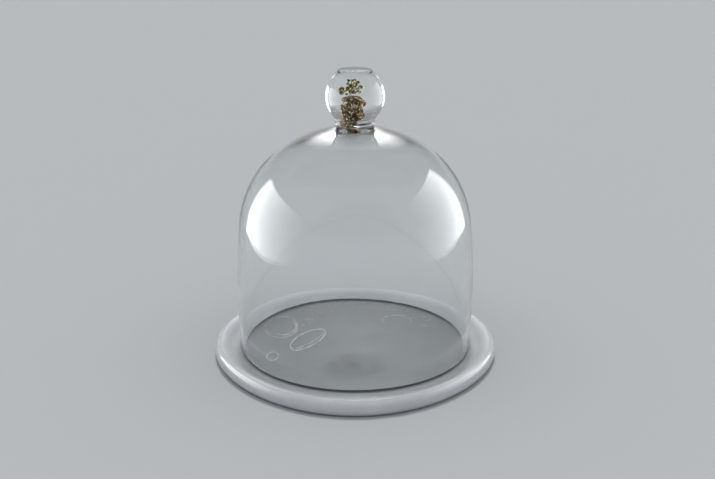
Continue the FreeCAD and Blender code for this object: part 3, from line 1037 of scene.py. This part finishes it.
def lamp(name, place, target, width, height, power, bright_end=None, fade_share=1.0):
    """A soft lamp box that only glass and metal see. It fades from its bright end, 0 or 1, over that
    share of its width, or towards its whole edge when no bright end is named. Light that has already
    left a matt face doesn't meet it, because the suns light those faces, and it isn't seen straight
    through the whole bell, because it stands for a lamp that is outside the view."""
    light = bpy.data.lights.new(name, "AREA")
    light.shape = "RECTANGLE"
    light.size, light.size_y = width, height
    light.energy = power
    light.use_nodes = True
    tree = light.node_tree
    tree.nodes.clear()
    spot = add(tree, "ShaderNodeNewGeometry").outputs["Parametric"]
    if bright_end is None:
        off = add(tree, "ShaderNodeVectorMath", {0: spot, 1: (0.5, 0.5, 0.0)}, operation="DISTANCE")
        share, limits = off.outputs["Value"], (0.5, 0.05)
    else:
        along = add(tree, "ShaderNodeSeparateXYZ", {0: spot})
        share, limits = along.outputs[0], (bright_end + (1 - 2 * bright_end) * fade_share, bright_end)
    fade = add(
        tree,
        "ShaderNodeMapRange",
        {"Value": share, "From Min": limits[0], "From Max": limits[1]},
        interpolation_type="SMOOTHSTEP",
    )
    path = add(tree, "ShaderNodeLightPath")
    clean = add(tree, "ShaderNodeMath", {0: path.outputs["Diffuse Depth"], 1: 0.5}, operation="LESS_THAN")
    near = add(
        tree,
        "ShaderNodeMath",
        {0: path.outputs["Transmission Depth"], 1: 2.5},
        operation="LESS_THAN",
    )
    met = add(tree, "ShaderNodeMath", {0: near.outputs[0], 1: clean.outputs[0]}, operation="MULTIPLY")
    level = add(tree, "ShaderNodeMath", {0: fade.outputs[0], 1: met.outputs[0]}, operation="MULTIPLY")
    glow = add(tree, "ShaderNodeEmission", {"Strength": level.outputs[0]})
    add(tree, "ShaderNodeOutputLight", {"Surface": glow.outputs[0]})
    thing = bpy.data.objects.new(name, light)
    bpy.context.scene.collection.objects.link(thing)
    thing.location = place
    aim(thing, target)
    thing.visible_camera = False
    thing.visible_diffuse = False


def sun(name, place, spread, strength):
    """Even light on everything from the direction of place, softer the wider its spread in degrees. A
    white face square to it renders at its strength, where 1 is white."""
    light = bpy.data.lights.new(name, "SUN")
    light.angle = math.radians(spread)
    light.energy = strength * math.pi
    thing = bpy.data.objects.new(name, light)
    bpy.context.scene.collection.objects.link(thing)
    thing.location = place
    aim(thing, (0, 0, 0))
    thing.visible_camera = False
    thing.visible_glossy = False
    thing.visible_transmission = False


def make_lights():
    """Soft light from above, nearly as much sharper light from over and behind the knob, which throws
    the knob's shadow, and three boxes, two at the sides and one behind, for glass and metal alone."""
    sun("soft_light", (0.0, 0.1, 1.0), 110, 0.40)
    sun("key_light", (0.0, 0.155, 0.66), 3, 0.34)
    lamp("box_left", (-0.38, -0.055, 0.17), (0, -0.055, 0.17), 0.55, 0.29, 2.0, bright_end=0)
    lamp("box_right", (0.38, -0.08, 0.22), (0, -0.08, 0.22), 0.7, 0.38, 2.6, bright_end=1, fade_share=0.8)
    lamp("box_back", (0.0, 0.95, 0.66), (0, 0, 0.19), 0.46, 0.6, 5.2)


def make_world():
    """Even grey all round, as pale as the floor at the horizon."""
    world = bpy.data.worlds.new("even_grey")
    bpy.context.scene.world = world
    world.use_nodes = True
    tree = world.node_tree
    tree.nodes.clear()
    look = add(tree, "ShaderNodeTexCoord")
    rise = add(tree, "ShaderNodeSeparateXYZ", {0: look.outputs["Generated"]})
    share = add(
        tree,
        "ShaderNodeMapRange",
        {"Value": rise.outputs["Z"], "From Min": 0.05, "From Max": 0.35},
        interpolation_type="SMOOTHSTEP",
    )
    tone = add(
        tree,
        "ShaderNodeMix",
        {0: share.outputs[0], 6: ink("#BBBEC1"), 7: ink("#8B8C8B")},
        data_type="RGBA",
    )
    grey = add(tree, "ShaderNodeBackground", {"Color": tone.outputs[2], "Strength": 1.0})
    add(tree, "ShaderNodeOutputWorld", {"Surface": grey.outputs[0]})


def make_camera():
    """Eye level a little above the knob, looking down at the dome from the front."""
    lens = bpy.data.cameras.new("camera")
    lens.sensor_fit = "HORIZONTAL"
    lens.sensor_width = 36.0
    lens.lens = 48.54
    camera = bpy.data.objects.new("camera", lens)
    bpy.context.scene.collection.objects.link(camera)
    camera.location = (0.0018, -0.700, 0.3219)
    camera.rotation_euler = (math.radians(90 - 18.2), 0, 0)
    bpy.context.scene.camera = camera


def main():
    bpy.context.scene.view_settings.view_transform = "Standard"
    make_dome_glass(clear_glass(), ground_lip_with_painted_shade())
    make_plate(frosted_glass())
    # the skin's pale colour is a painted highlight, on the bubble ridges and the seeds alike
    painted_highlight_skin = bubble_glass()
    make_bubbles(painted_highlight_skin)
    make_seeds(painted_highlight_skin)
    make_gold(
        metal_leaf("gold_leaf", "#FFE7B4", "#52300F"),
        metal_leaf("green_gold_leaf", "#FBF3C0", "#5A5520"),
        scorched_leaf(),
    )
    make_floor()
    make_lights()
    make_world()
    make_camera()


main()
